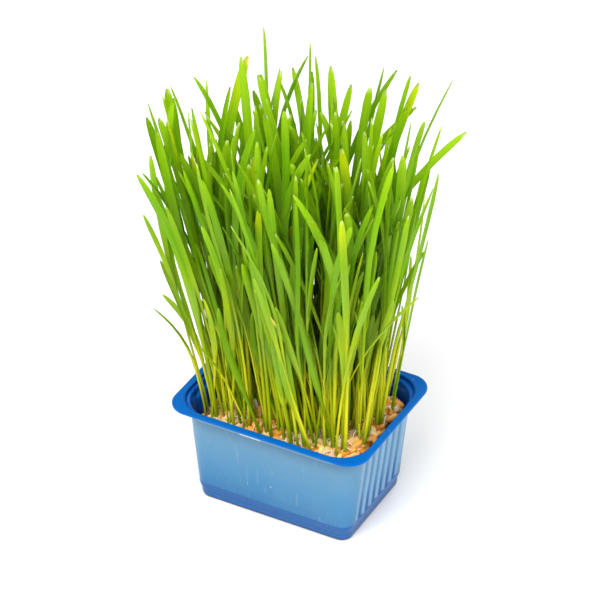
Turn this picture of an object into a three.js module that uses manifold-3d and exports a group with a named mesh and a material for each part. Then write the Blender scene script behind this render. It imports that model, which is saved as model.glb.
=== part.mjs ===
// A small ribbed punnet of wheatgrass: a thin plastic tray, the mat of roots that fills it, the bed of
// sprouted grains on top and the tuft of shoots that grows from them. Millimetres, +Z up. The origin is
// the centre of the tray's underside, and the tray's long side runs along X.
import * as THREE from 'three';
import { LoftGeometry } from 'three/addons/geometries/LoftGeometry.js';
import { mergeVertices } from 'three/addons/utils/BufferGeometryUtils.js';
import Module from 'manifold-3d';

// Tray.
const RIM_LENGTH = 115;
const RIM_WIDTH = 88;
const TRAY_HEIGHT = 62;
const WALL = 0.9;
const RIM_RADIUS = 11;
const FLANGE_WIDTH = 4.8;
const FLANGE_DROP = 1.6;
const OPENING_RADIUS = 14.5;
const SHOULDER_DEPTH = 6;
const SHOULDER_DRAFT = 0.4;
const LEDGE = 1.8;
const WALL_DRAFT = 5.3;
const FOOT_HEIGHT = 9;
const FOOT_DRAFT = 3.6;
const FOOT_RADIUS = 7;
const CORNER_STEPS = 4;
const GROOVES = 6;
const GROOVE_PITCH = 7.6;
const GROOVE_DEPTH = 1.2;
const GROOVE_END = 1.6;

// What fills the tray, from the floor up.
const GAP = 0.35;
const MAT_TOP = 46;
const FELT = 0.8;
const BED_EDGE_TOP = 50.6;
const BED_CROWN_TOP = 56;
const BED_SLOPE_WIDTH = 12;
const BED_CROWN_SHIFT = { x: 3, y: -3 };

// Shoots: clusters of three, each shoot a round stem that widens into a flat pointed blade.
const CLUSTERS = 96;
const SHOOTS_IN_CLUSTER = 3;
const CLUSTER_RADIUS = 0.85;
const GROWING_HALF = { x: 43.6, y: 31.2 };
const SHOOT_LENGTH = { low: 148, high: 196 };
const SHORT_SHOOT_LENGTH = { low: 84, high: 150 };
const SHORT_SHARE = 0.22;
const OUTWARD_LEAN = 0.05;
const OUTWARD_BEND = 0.035;
const CLUSTER_LEAN = 0.03;
const SPLAY = { low: 0.01, high: 0.036 };
const SHOOT_BEND = 0.09;
const FACE_TURN = 0.6;
const SHOOT_TWIST = 0.7;
const PLACE_TRIES = 60;
const SHOOT_TRIES = 40;
const CLEAR_GAP = 1;
const CHECK_HEIGHTS = [30, 60, 90, 110, 130, 150, 170];
const BLADE_SECTIONS = [
  { along: 0, width: 1.35, thick: 1.15 },
  { along: 0.34, width: 2.1, thick: 1.05 },
  { along: 0.62, width: 4.6, thick: 0.85 },
  { along: 0.89, width: 4.3, thick: 0.75 },
  { along: 1, width: 0, thick: 0 },
];

// Grains that lie on the bed.
const GRAINS = 92;
const GRAIN_TRIES = 40;
const GRAIN = { length: 6.8, width: 3.7, rise: 1.8, sunk: 2.2, skew: 0.3, ridge: 0.5 };
const HOLE_REACH = { low: 3.25, high: 4 };

const wasm = await Module();
wasm.setup();

// Park and Miller's generator: each draw is the last one times 48271, modulo 2^31 - 1.
function seededRandom(seed) {
  const modulus = 2147483647;
  let state = seed;
  return (low = 0, high = 1) => {
    state = (state * 48271) % modulus;
    return low + (high - low) * (state / modulus);
  };
}

// A closed geometry as a solid: equal corners are welded, and the slivers this leaves at a point dropped.
function solid(geometry) {
  const bare = new THREE.BufferGeometry();
  bare.setIndex(geometry.index);
  bare.setAttribute('position', geometry.getAttribute('position'));
  const welded = mergeVertices(bare, 1e-4);
  const corners = welded.index.array;
  const kept = [];
  for (let i = 0; i < corners.length; i += 3) {
    const [a, b, c] = corners.slice(i, i + 3);
    if (a !== b && b !== c && c !== a) {
      kept.push(a, b, c);
    }
  }
  const vertProperties = welded.getAttribute('position').array;
  return new wasm.Manifold(new wasm.Mesh({ numProp: 3, vertProperties, triVerts: new Uint32Array(kept) }));
}

// A solid through a row of outlines. An end that has drawn in to a point or a ridge takes no cap.
function loft(sections, capStart = true, capEnd = true) {
  return solid(new LoftGeometry(sections, { capStart, capEnd }));
}

// The same loft, closed at each end by a fan about the point of the Z axis at that end's height, for
// outlines with corners along a straight side.
function fanLoft(sections) {
  const hub = (section) => section.map((point) => new THREE.Vector3(0, 0, point.z));
  return loft([hub(sections[0]), ...sections, hub(sections.at(-1))], false, false);
}

// Joins solids two by two, so that no join is much larger than the two it makes one of.
function joined(solids) {
  let round = solids;
  while (round.length > 1) {
    const next = [];
    for (let i = 0; i < round.length; i += 2) {
      next.push(i + 1 < round.length ? round[i].add(round[i + 1]) : round[i]);
    }
    round = next;
  }
  return round[0];
}

function named(name, shape, material) {
  const { vertProperties, triVerts } = shape.getMesh();
  const geometry = new THREE.BufferGeometry();
  geometry.setAttribute('position', new THREE.BufferAttribute(vertProperties, 3));
  geometry.setIndex(new THREE.BufferAttribute(triVerts, 1));
  const flat = geometry.toNonIndexed();
  flat.computeVertexNormals();
  const mesh = new THREE.Mesh(flat, material);
  mesh.name = name;
  return mesh;
}

// The corners of one short side's grooves, from its front end to its back end, as places along the side
// and shares of the groove depth.
function grooveCorners() {
  const corners = [];
  for (let i = 0; i < GROOVES; i++) {
    const middle = (i - (GROOVES - 1) / 2) * GROOVE_PITCH;
    corners.push([middle - GROOVE_PITCH * 0.32, 0]);
    corners.push([middle - GROOVE_PITCH * 0.18, 1]);
    corners.push([middle + GROOVE_PITCH * 0.18, 1]);
    corners.push([middle + GROOVE_PITCH * 0.32, 0]);
  }
  return corners;
}

// A rounded rectangle at height z, counter-clockwise from above. With a groove depth its two short sides
// have grooves pressed in to that depth; without one they are straight from corner to corner.
function outline(z, halfX, halfY, radius, grooveDepth = null) {
  const side = grooveDepth === null ? [] : grooveCorners();
  const points = [];
  for (const [along, share] of side) {
    points.push(new THREE.Vector3(halfX - share * grooveDepth, along, z));
  }
  addCorner(points, halfX - radius, halfY - radius, radius, 0, z);
  addCorner(points, radius - halfX, halfY - radius, radius, 1, z);
  for (const [along, share] of side) {
    points.push(new THREE.Vector3(share * grooveDepth - halfX, -along, z));
  }
  addCorner(points, radius - halfX, radius - halfY, radius, 2, z);
  addCorner(points, halfX - radius, radius - halfY, radius, 3, z);
  return points;
}

// One quarter turn of an outline about its corner's centre.
function addCorner(points, x, y, radius, quarter, z) {
  for (let i = 0; i <= CORNER_STEPS; i++) {
    const turn = (quarter + i / CORNER_STEPS) * Math.PI / 2;
    points.push(new THREE.Vector3(x + radius * Math.cos(turn), y + radius * Math.sin(turn), z));
  }
}

// How far the inner face of the wall is inside the rim's outer edge, from the foot up to the ledge.
const SHOULDER_INSET = FLANGE_WIDTH + SHOULDER_DRAFT;
const WALL_TOP = TRAY_HEIGHT - SHOULDER_DEPTH;
function wallInset(z) {
  const down = (WALL_TOP - z) / (WALL_TOP - FOOT_HEIGHT);
  return SHOULDER_INSET + LEDGE + WALL_DRAFT * down;
}

function wallRadius(z) {
  return THREE.MathUtils.lerp(FOOT_RADIUS, OPENING_RADIUS, z / TRAY_HEIGHT);
}

// The tray is one loft: up its outside, over the flange and down its inside, closed by its floor.
function tray() {
  const ring = (z, inset, radius, grooveDepth = 0) =>
    outline(z, RIM_LENGTH / 2 - inset, RIM_WIDTH / 2 - inset, radius, grooveDepth);
  const wall = (z, out, grooveDepth) => ring(z, wallInset(z) - out, wallRadius(z), grooveDepth);
  const floorInset = wallInset(FOOT_HEIGHT) + FOOT_DRAFT;
  const grooveLow = FOOT_HEIGHT + GROOVE_END;
  const grooveHigh = WALL_TOP - GROOVE_END;
  const underFlange = TRAY_HEIGHT - WALL;
  return fanLoft([
    ring(0, floorInset - WALL, FOOT_RADIUS),
    wall(FOOT_HEIGHT, WALL, 0),
    wall(grooveLow, WALL, GROOVE_DEPTH),
    wall(grooveHigh, WALL, GROOVE_DEPTH),
    ring(WALL_TOP - WALL / 2, SHOULDER_INSET - WALL, OPENING_RADIUS),
    ring(underFlange, FLANGE_WIDTH - WALL, OPENING_RADIUS),
    ring(TRAY_HEIGHT - FLANGE_DROP, 0, RIM_RADIUS),
    ring(TRAY_HEIGHT - WALL / 2, 0, RIM_RADIUS),
    ring(TRAY_HEIGHT, WALL / 2, RIM_RADIUS),
    ring(TRAY_HEIGHT, FLANGE_WIDTH, OPENING_RADIUS),
    ring(WALL_TOP + WALL / 2, SHOULDER_INSET, OPENING_RADIUS),
    wall(WALL_TOP, 0, 0),
    wall(grooveHigh, 0, GROOVE_DEPTH),
    wall(grooveLow, 0, GROOVE_DEPTH),
    wall(FOOT_HEIGHT, 0, 0),
    ring(WALL, floorInset, FOOT_RADIUS - WALL),
  ]);
}

// The outline of what fills the tray at height z, a gap inside its wall and its grooves.
function fillOutline(z, inward = 0, shift = { x: 0, y: 0 }) {
  const inset = wallInset(z) + GAP + inward;
  const halfX = RIM_LENGTH / 2 - inset - GROOVE_DEPTH;
  const points = outline(z, halfX, RIM_WIDTH / 2 - inset, wallRadius(z) - GAP);
  const moved = new THREE.Vector3(shift.x, shift.y, 0);
  return points.map((point) => point.add(moved));
}

// White roots packed solid, moulded to the tray.
function rootMat() {
  const floor = WALL + GAP;
  const foot = fillOutline(FOOT_HEIGHT);
  const low = fillOutline(FOOT_HEIGHT, FOOT_DRAFT).map((point) => point.setZ(floor));
  return loft([low, foot, fillOutline(MAT_TOP)]);
}

// A random place and turn in a rectangle with fourth-power round corners.
function drawPlace(random) {
  const half = GROWING_HALF;
  let place = null;
  while (place === null || (place.x / half.x) ** 4 + (place.y / half.y) ** 4 > 1) {
    place = { x: random(-half.x, half.x), y: random(-half.y, half.y), turn: random(0, Math.PI) };
  }
  return place;
}

// Spreads places over the bed: each is the one of a few random tries with the widest gap to all before it.
function spreadPlaces(count, tries, random, spotsOf, before = []) {
  const places = [];
  while (places.length < count) {
    let best = null;
    for (let i = 0; i < tries; i++) {
      const place = drawPlace(random);
      place.spots = spotsOf(place);
      place.gap = Math.min(...[...before, ...places].map((other) => spotGap(place, other)), 1e6);
      if (best === null || place.gap > best.gap) {
        best = place;
      }
    }
    places.push(best);
  }
  return places;
}

function distance(a, b) {
  return Math.hypot(a.x - b.x, a.y - b.y);
}

// Free space between the round spots of two places.
function spotGap(a, b) {
  let least = 1e6;
  for (const spotA of a.spots) {
    for (const spotB of b.spots) {
      least = Math.min(least, distance(spotA, spotB) - spotA.room - spotB.room);
    }
  }
  return least;
}

// The three ways out from a cluster's middle on which its shoots stand.
function clusterWays(cluster) {
  return Array.from({ length: SHOOTS_IN_CLUSTER }, (_, i) => {
    const turn = cluster.turn + (i * 2 * Math.PI) / SHOOTS_IN_CLUSTER;
    return { x: Math.cos(turn), y: Math.sin(turn) };
  });
}

// The hole of a cluster as spots: a round middle and three bare corners.
function clusterSpots(cluster) {
  const reach = HOLE_REACH.low;
  const corners = clusterWays(cluster).map((way) => ({ ...stepped(cluster, way, reach), room: 0 }));
  return [{ x: cluster.x, y: cluster.y, room: reach / 2 }, ...corners];
}

// A grain as spots: one for each of its halves.
function grainSpots(place) {
  const way = { x: Math.cos(place.turn), y: Math.sin(place.turn) };
  const ends = [-0.25, 0.25].map((end) => stepped(place, way, end * GRAIN.length));
  return ends.map((spot) => ({ ...spot, room: GRAIN.width / 2 }));
}

function stepped(from, way, length) {
  return { x: from.x + way.x * length, y: from.y + way.y * length };
}

// The middle line of a shoot, as a share s of its length: it rises evenly and moves sideways by
// length * (lean * s + bend * s * s).
function shootPoint(shoot, s) {
  const x = shoot.x + shoot.length * (shoot.lean.x * s + shoot.bend.x * s * s);
  const y = shoot.y + shoot.length * (shoot.lean.y * s + shoot.bend.y * s * s);
  return new THREE.Vector3(x, y, shoot.z + shoot.length * s);
}

// Width of a shoot at a share s of its length, in straight lines from section to section.
function bladeWidth(s) {
  const next = Math.max(1, BLADE_SECTIONS.findIndex(({ along }) => along >= s));
  const [low, high] = [BLADE_SECTIONS[next - 1], BLADE_SECTIONS[next]];
  const share = (s - low.along) / (high.along - low.along);
  return THREE.MathUtils.lerp(low.width, high.width, share);
}

// Where a shoot passes each check height: its two edges and its middle, and nothing above its tip.
function passesOf(shoot) {
  return CHECK_HEIGHTS.filter((height) => height < shoot.length).map((height) => {
    const s = height / shoot.length;
    const middle = shootPoint(shoot, s);
    const turn = shoot.face + shoot.twist * s;
    return [-0.5, 0, 0.5].map((across) => ({
      x: middle.x + across * bladeWidth(s) * Math.cos(turn),
      y: middle.y + across * bladeWidth(s) * Math.sin(turn),
    }));
  });
}

// The nearest two shoots come to each other at the heights that both pass.
function shootGap(a, b) {
  let least = 1e6;
  for (let i = 0; i < Math.min(a.passes.length, b.passes.length); i++) {
    for (const pointA of a.passes[i]) {
      for (const pointB of b.passes[i]) {
        least = Math.min(least, distance(pointA, pointB));
      }
    }
  }
  return least;
}

// A shoot of a cluster: it leans with its cluster, and outwards by its place in the tray.
function drawShoot(cluster, index, random) {
  const away = clusterWays(cluster)[index];
  const splay = random(SPLAY.low, SPLAY.high);
  const isShort = random() < SHORT_SHARE;
  const range = isShort ? SHORT_SHOOT_LENGTH : SHOOT_LENGTH;
  return {
    away,
    ...stepped(cluster, away, CLUSTER_RADIUS),
    z: MAT_TOP + GAP + FELT / 2,
    length: random(range.low, range.high),
    lean: { x: cluster.lean.x + splay * away.x, y: cluster.lean.y + splay * away.y },
    bend: {
      x: OUTWARD_BEND * cluster.out.x + random(-1, 1) * SHOOT_BEND,
      y: OUTWARD_BEND * cluster.out.y + random(-1, 1) * SHOOT_BEND,
    },
    face: Math.atan2(away.x, -away.y) + random(-1, 1) * FACE_TURN,
    twist: random(-1, 1) * SHOOT_TWIST,
  };
}

// All clusters and shoots. Each shoot is the first of a few tries that keeps clear of those before it, or
// the clearest of them.
function growShoots() {
  const random = seededRandom(20);
  const clusters = spreadPlaces(CLUSTERS, PLACE_TRIES, random, clusterSpots);
  const shoots = [];
  for (const cluster of clusters) {
    cluster.out = { x: cluster.x / GROWING_HALF.x, y: cluster.y / GROWING_HALF.y };
    cluster.lean = {
      x: OUTWARD_LEAN * cluster.out.x + random(-1, 1) * CLUSTER_LEAN,
      y: OUTWARD_LEAN * cluster.out.y + random(-1, 1) * CLUSTER_LEAN,
    };
    for (let index = 0; index < SHOOTS_IN_CLUSTER; index++) {
      let best = null;
      for (let i = 0; i < SHOOT_TRIES; i++) {
        const shoot = drawShoot(cluster, index, random);
        shoot.passes = passesOf(shoot);
        shoot.gap = Math.min(...shoots.map((other) => shootGap(shoot, other)), CLEAR_GAP);
        if (best === null || shoot.gap > best.gap) {
          best = shoot;
        }
      }
      shoots.push(best);
    }
  }
  return { clusters, shoots };
}

// A shoot's three-sided body: flat at the back, with a low ridge in front, across the way it faces.
function shootSolid(shoot) {
  const sections = BLADE_SECTIONS.map(({ along, width, thick }) => {
    const slopeX = shoot.lean.x + 2 * along * shoot.bend.x;
    const slopeY = shoot.lean.y + 2 * along * shoot.bend.y;
    const up = new THREE.Vector3(slopeX, slopeY, 1).normalize();
    const turn = shoot.face + shoot.twist * along;
    const side = new THREE.Vector3(Math.cos(turn), Math.sin(turn), 0);
    side.addScaledVector(up, -side.dot(up)).normalize();
    const front = new THREE.Vector3().crossVectors(up, side);
    const middle = shootPoint(shoot, along);
    const corner = (across, forward) =>
      middle.clone().addScaledVector(side, across * width).addScaledVector(front, forward * thick);
    return [corner(-0.5, -1 / 3), corner(0.5, -1 / 3), corner(0, 2 / 3)];
  });
  return loft(sections, true, false);
}

// The shoots stand on a thin felt of crowns and young roots, which holds them together under the grains.
function shootsSolid(shoots) {
  const felt = loft([fillOutline(MAT_TOP + GAP), fillOutline(MAT_TOP + GAP + FELT)]);
  return joined(shoots.map(shootSolid)).add(felt);
}

// A stem's slope, away from upright, up to its second section, where it is straight.
function stemSlope(shoot) {
  const { along } = BLADE_SECTIONS[1];
  return { x: shoot.lean.x + along * shoot.bend.x, y: shoot.lean.y + along * shoot.bend.y };
}

// The three-sided hole that a cluster grows through: it follows the middle of its stems, and opens upwards
// as they spread.
function clusterHole(cluster, stems, low, high) {
  const slopes = stems.map(stemSlope);
  const slopeX = slopes.reduce((sum, slope) => sum + slope.x, 0) / stems.length;
  const slopeY = slopes.reduce((sum, slope) => sum + slope.y, 0) / stems.length;
  const triangle = (z, reach) => {
    const middle = stepped(cluster, { x: slopeX, y: slopeY }, z - stems[0].z);
    const corners = clusterWays(cluster).map((way) => stepped(middle, way, reach));
    return corners.map(({ x, y }) => new THREE.Vector3(x, y, z));
  };
  return loft([triangle(low, HOLE_REACH.low), triangle(high, HOLE_REACH.high)]);
}

// Height of the bed's top at a place: it rises from its edge to a flat crown.
function bedTop(place) {
  const inset = wallInset(BED_EDGE_TOP) + GAP;
  const halfX = RIM_LENGTH / 2 - inset - GROOVE_DEPTH;
  const halfY = RIM_WIDTH / 2 - inset;
  const inX = halfX - BED_SLOPE_WIDTH - Math.abs(place.x - BED_CROWN_SHIFT.x);
  const inY = halfY - BED_SLOPE_WIDTH - Math.abs(place.y - BED_CROWN_SHIFT.y);
  const outside = THREE.MathUtils.clamp(-Math.min(inX, inY) / BED_SLOPE_WIDTH, 0, 1);
  return THREE.MathUtils.lerp(BED_CROWN_TOP, BED_EDGE_TOP, outside);
}

// One grain lying on the bed, four-sided and pointed, which narrows upwards to a ridge. Its foot is sunk
// into the bed with its sides carried on downwards.
function grainSolid(place) {
  const middle = new THREE.Vector3(place.x, place.y, bedTop(place));
  const spread = GRAIN.sunk / GRAIN.rise;
  const corner = (x, y, z) => {
    const point = new THREE.Vector3((x * GRAIN.length) / 2, (y * GRAIN.width) / 2, z);
    return point.applyAxisAngle(new THREE.Vector3(0, 0, 1), place.turn).add(middle);
  };
  const foot = [[1, 0], [GRAIN.skew, 1], [-1, 0], [-GRAIN.skew, -1]].map(([x, y], i) => {
    const end = i < 2 ? GRAIN.ridge : -GRAIN.ridge;
    return corner(x + (x - end) * spread, y + y * spread, -GRAIN.sunk);
  });
  const ridge = [1, 1, -1, -1].map((end) => corner(end * GRAIN.ridge, 0, GRAIN.rise));
  return loft([foot, ridge], true, false);
}

// The bed: sprouted grains grown together, crowned towards the front right, with holes for the shoots.
function grainBed(clusters, shoots) {
  const low = MAT_TOP + FELT + 2 * GAP;
  const high = BED_CROWN_TOP + GRAIN.rise + 1;
  const crown = fillOutline(BED_EDGE_TOP, BED_SLOPE_WIDTH, BED_CROWN_SHIFT);
  crown.forEach((point) => point.setZ(BED_CROWN_TOP));
  const bed = loft([fillOutline(low), fillOutline(BED_EDGE_TOP), crown]);
  const inside = loft([fillOutline(low), fillOutline(high)]);
  const holes = clusters.map((cluster, i) => {
    const stems = shoots.slice(i * SHOOTS_IN_CLUSTER, (i + 1) * SHOOTS_IN_CLUSTER);
    return clusterHole(cluster, stems, low - 1, high);
  });
  const grains = spreadPlaces(GRAINS, GRAIN_TRIES, seededRandom(7), grainSpots, clusters);
  return joined([bed, ...grains.map(grainSolid)]).intersect(inside).subtract(joined(holes));
}

const { clusters, shoots } = growShoots();
const bluePlastic = new THREE.MeshStandardMaterial({ color: 0x3f86c6, roughness: 0.35, metalness: 0 });
const paleRoots = new THREE.MeshStandardMaterial({ color: 0xd8cfb4, roughness: 0.9, metalness: 0 });
const tanGrain = new THREE.MeshStandardMaterial({ color: 0xc98f4a, roughness: 0.7, metalness: 0 });
const greenBlade = new THREE.MeshStandardMaterial({ color: 0x77b314, roughness: 0.5, metalness: 0 });

const punnet = new THREE.Group();
punnet.add(named('tray', tray(), bluePlastic));
punnet.add(named('root_mat', rootMat(), paleRoots));
punnet.add(named('grain_bed', grainBed(clusters, shoots), tanGrain));
punnet.add(named('shoots', shootsSolid(shoots), greenBlade));

export default punnet;
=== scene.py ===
import bpy
import numpy as np
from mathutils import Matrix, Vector


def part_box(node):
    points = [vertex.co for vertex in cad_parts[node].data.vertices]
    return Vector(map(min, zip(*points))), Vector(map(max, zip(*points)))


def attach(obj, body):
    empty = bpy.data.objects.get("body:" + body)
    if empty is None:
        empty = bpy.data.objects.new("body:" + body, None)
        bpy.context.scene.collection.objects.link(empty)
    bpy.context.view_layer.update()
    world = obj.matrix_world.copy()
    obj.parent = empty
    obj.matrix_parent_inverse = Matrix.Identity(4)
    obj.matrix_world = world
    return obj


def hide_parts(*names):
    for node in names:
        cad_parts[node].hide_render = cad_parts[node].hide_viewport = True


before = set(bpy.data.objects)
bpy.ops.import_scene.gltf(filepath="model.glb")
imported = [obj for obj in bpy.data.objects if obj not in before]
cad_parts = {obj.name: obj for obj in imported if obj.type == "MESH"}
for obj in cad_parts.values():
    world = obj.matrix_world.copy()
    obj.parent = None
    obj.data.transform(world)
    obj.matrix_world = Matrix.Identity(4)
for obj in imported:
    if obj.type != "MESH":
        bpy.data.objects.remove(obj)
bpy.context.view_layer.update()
MM = 0.001


# ------------------------------
# The tray. One thin sheet of blue plastic, drawn hot into a mould: a flange with a turned-down lip, a
# shoulder and ledge under it, tapered walls with upright grooves in the short sides, and a foot band.

tray_box = [np.array(corner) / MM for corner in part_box("tray")]
RIM_HALF = (tray_box[1] - tray_box[0])[:2] / 2
TRAY_HEIGHT = tray_box[1][2]
SHEET = 0.9
RIM_RADIUS = 12
OPENING_RADIUS = 17
WALL_TOP_RADIUS = 16
FOOT_RADIUS = 6
FLANGE_WIDTH = 4.0
LIP_DROP = 1.4
SHOULDER_INSET = 5.2
LEDGE_HEIGHT = TRAY_HEIGHT - 6
LEDGE = 1.8
FOOT_HEIGHT = 9
WALL_DRAFT = 5.3
FOOT_DRAFT = 1.7
GROOVES = 6
GROOVE_PITCH = 7.6
GROOVE_DEPTH = 1.2
GROOVE_END = 1.6
PANEL_RISE = 0.3
PANEL_HALF = 31
PANEL_LOW = 15
PANEL_HIGH = 44
SHORT_REACH = 21.6
LONG_REACH = 34
FLOOR_RIM = 6
SHORT_SIDE_FROM = 40
WALL_WAVE = 0.07


class Value:
    """A socket of a finish. Arithmetic on it adds Math nodes and gives a Value again, so 1 - mask works."""

    def __init__(self, finish, socket):
        self.finish, self.socket = finish, socket

    def math(self, operation, *others):
        """The result of a Math node on this value and the others."""
        return self.finish.node("ShaderNodeMath", {"operation": operation}, dict(enumerate([self, *others])))

    def __add__(self, other):
        return self.math("ADD", other)

    def __sub__(self, other):
        return self.math("SUBTRACT", other)

    def __rsub__(self, other):
        return self.math("SUBTRACT", other) * -1

    def __mul__(self, other):
        return self.math("MULTIPLY", other)

    def __truediv__(self, other):
        return self.math("DIVIDE", other)

    __radd__, __rmul__ = __add__, __mul__

    def between(self, low, high):
        """0 below low, 1 above high and a smooth step between; the other way round if low is the higher."""
        settings = {"interpolation_type": "SMOOTHSTEP"}
        ends = {"Value": self, "From Min": min(low, high), "From Max": max(low, high)}
        risen = self.finish.node("ShaderNodeMapRange", settings, ends)
        return 1 - risen if low > high else risen


class Finish:
    """A material that is written as a recipe: node() adds any node, and the rest are short ways to it."""

    def __init__(self, name, **constants):
        self.material = bpy.data.materials.new(name)
        self.material.use_nodes = True
        self.tree = self.material.node_tree
        self.surface = self.tree.nodes["Principled BSDF"]
        self.set(**constants)

    def put(self, socket, value):
        """Links a Value to a socket, or sets the socket to anything else."""
        if isinstance(value, Value):
            self.tree.links.new(value.socket, socket)
        else:
            socket.default_value = value

    def node(self, kind, settings=None, sockets=None, output=0):
        """Adds a node, with its own settings first (a ramp's are its stops) and then values or links."""
        node = self.tree.nodes.new(kind)
        for name, value in (settings or {}).items():
            if name == "stops":
                while len(node.color_ramp.elements) < len(value):
                    node.color_ramp.elements.new(0.5)
                for element, (place, colour) in zip(node.color_ramp.elements, value):
                    element.position, element.color = place, (*colour, 1)
            else:
                setattr(node, name, value)
        for name, value in (sockets or {}).items():
            self.put(node.inputs[name], value)
        return Value(self, node.outputs[output])

    def set(self, **sockets):
        """Sets or links the surface's own sockets; Base_Color stands for Base Color."""
        for name, value in sockets.items():
            self.put(self.surface.inputs[name.replace("_", " ")], value)

    def place(self, axis=None, stretch=(1, 1, 1)):
        """The place on the piece in metres, stretched, or one coordinate of it in millimetres."""
        here = self.node("ShaderNodeTexCoord", output=3)
        if axis is None:
            return self.node("ShaderNodeMapping", {}, {"Vector": here, "Scale": stretch})
        return self.node("ShaderNodeSeparateXYZ", {}, {"Vector": here}, output="XYZ".index(axis)) * (1 / MM)

    def mark(self, name):
        """The number that the mesh carries under that name."""
        return self.node("ShaderNodeAttribute", {"attribute_name": name}, output=2)

    def noise(self, spots_per_metre, detail=2, stretch=(1, 1, 1), rough=0.5):
        """Cloudy noise from 0 to 1, of about so many spots to the metre."""
        sockets = {"Vector": self.place(stretch=stretch), "Scale": spots_per_metre, "Detail": detail,
                   "Roughness": rough}
        return self.node("ShaderNodeTexNoise", {}, sockets)

    def ramp(self, value, *stops):
        """Colour read off stops of (value, colour), even between one and the next."""
        return self.node("ShaderNodeValToRGB", {"stops": stops}, {"Fac": value})

    def mix(self, share, first, second):
        """The first colour at share 0, the second at 1; each is three numbers or a Value."""
        first, second = [c if isinstance(c, Value) else (*c, 1) for c in (first, second)]
        sockets = {0: share, 6: first, 7: second}
        return self.node("ShaderNodeMix", {"data_type": "RGBA"}, sockets, output=2)

    def layers(self, colour, *over):
        """A colour with others laid over it in turn, each as (share, colour)."""
        for share, layer in over:
            colour = self.mix(share, colour, layer)
        return colour

    def relief(self, height, depth_mm):
        """Raises the surface by height times depth."""
        sockets = {"Height": height, "Distance": depth_mm * MM}
        self.set(Normal=self.node("ShaderNodeBump", {}, sockets))

    def glow_through(self, share, colour):
        """Lets a share of the light through to the other side, in that colour."""
        surface = Value(self, self.surface.outputs[0])
        through = self.node("ShaderNodeBsdfTranslucent", {}, {"Color": colour})
        both = self.node("ShaderNodeMixShader", {}, {0: share, 1: surface, 2: through})
        self.put(self.tree.nodes["Material Output"].inputs["Surface"], both)


def closed_skins(rings, marks):
    """Places, marks and faces of closed skins, from rings (skins, rows, corners, 3). Quads join each ring to
    the next, and triangles close each end about the mean of its ring. A mark is a number for each corner."""
    skins, rows, corners, _ = rings.shape
    marks = [np.broadcast_to(mark, rings.shape[:3])[..., None] for mark in marks]
    data = np.concatenate([rings, *marks], axis=3)
    poles = data[:, [0, -1]].mean(axis=2)
    data = np.concatenate([data.reshape(skins, rows * corners, -1), poles], axis=1)
    first = (np.arange(skins) * (rows * corners + 2))[:, None, None]
    here = first + (np.arange(rows) * corners)[:, None] + np.arange(corners)
    ahead = np.roll(here, -1, axis=2)
    quads = np.stack([here[:, :-1], ahead[:, :-1], ahead[:, 1:], here[:, 1:]], axis=-1)
    low = np.broadcast_to(first[..., 0] + rows * corners, here[:, 0].shape)
    fans = [np.stack([low, ahead[:, 0], here[:, 0]], -1), np.stack([low + 1, here[:, -1], ahead[:, -1]], -1)]
    faces = [quads.reshape(-1, 4), np.concatenate(fans).reshape(-1, 3)]
    data = data.reshape(-1, data.shape[2])
    return data[:, :3], data[:, 3:].T, faces


def stand(name, data):
    """A new thing in the scene, of that mesh, light or camera."""
    thing = bpy.data.objects.new(name, data)
    bpy.context.scene.collection.objects.link(thing)
    return thing


def piece(name, rings, finish, slot, replaces=None, **marks):
    """A piece of the object from its rings in millimetres, which may stand for a solid and carry marks."""
    if rings.ndim == 3:
        rings = rings[None]
    places, values, faces = closed_skins(rings, marks.values())
    mesh = bpy.data.meshes.new(name)
    mesh.vertices.add(len(places))
    mesh.vertices.foreach_set("co", (places * MM).astype(np.float32).ravel())
    corners = np.concatenate([part.ravel() for part in faces]).astype(np.int32)
    sizes = np.concatenate([np.full(len(part), part.shape[1]) for part in faces])
    mesh.loops.add(len(corners))
    mesh.loops.foreach_set("vertex_index", corners)
    mesh.polygons.add(len(sizes))
    mesh.polygons.foreach_set("loop_start", (np.cumsum(sizes) - sizes).astype(np.int32))
    mesh.polygons.foreach_set("use_smooth", np.ones(len(sizes), bool))
    for mark, value in zip(marks, values):
        mesh.attributes.new(mark, "FLOAT", "POINT").data.foreach_set("value", value.astype(np.float32))
    mesh.update(calc_edges=True)
    mesh.materials.append(finish.material)
    thing = stand(name, mesh)
    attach(thing, "root")
    if replaces:
        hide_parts(replaces)
    return thing


def step(values, low, high):
    """0 below low, 1 above high, and 3 t^2 - 2 t^3 between."""
    t = np.clip((values - low) / (high - low), 0, 1)
    return t * t * (3 - 2 * t)


def unit(vectors):
    """Vectors divided by their lengths."""
    return vectors / np.linalg.norm(vectors, axis=-1, keepdims=True)


def ripple(places, length, seed):
    """Smooth noise between about -1 and 1: three times the mean of twelve sine waves of about that length in
    millimetres, each with a seeded direction and start."""
    random = np.random.default_rng(seed)
    ways = random.normal(size=(12, 3))
    ways *= (2 * np.pi / length) * random.uniform(0.7, 1.4, (12, 1)) / np.linalg.norm(ways, axis=1)[:, None]
    return np.sin(places @ ways.T + random.uniform(0, 2 * np.pi, 12)).mean(axis=-1) * 3


def rounded(path, passes):
    """Corner cutting: in each pass every leg of the path keeps its points at a quarter and at three quarters
    of its length, and the path its two ends."""
    for _ in range(passes):
        quarter, three = path[:-1] * 0.75 + path[1:] * 0.25, path[:-1] * 0.25 + path[1:] * 0.75
        middle = np.stack([quarter, three], axis=1).reshape(-1, path.shape[1])
        path = np.concatenate([path[:1], middle, path[-1:]])
    return path


def wall_inset(z):
    """How far the wall's inner face is inside the rim at height z, which grows evenly downwards."""
    return SHOULDER_INSET + LEDGE + WALL_DRAFT * (LEDGE_HEIGHT - z) / (LEDGE_HEIGHT - FOOT_HEIGHT)


def wall_radius(z):
    """The corner radius of the wall at height z, which grows evenly from the foot to the top."""
    return FOOT_RADIUS + (WALL_TOP_RADIUS - FOOT_RADIUS) * z / TRAY_HEIGHT


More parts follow.
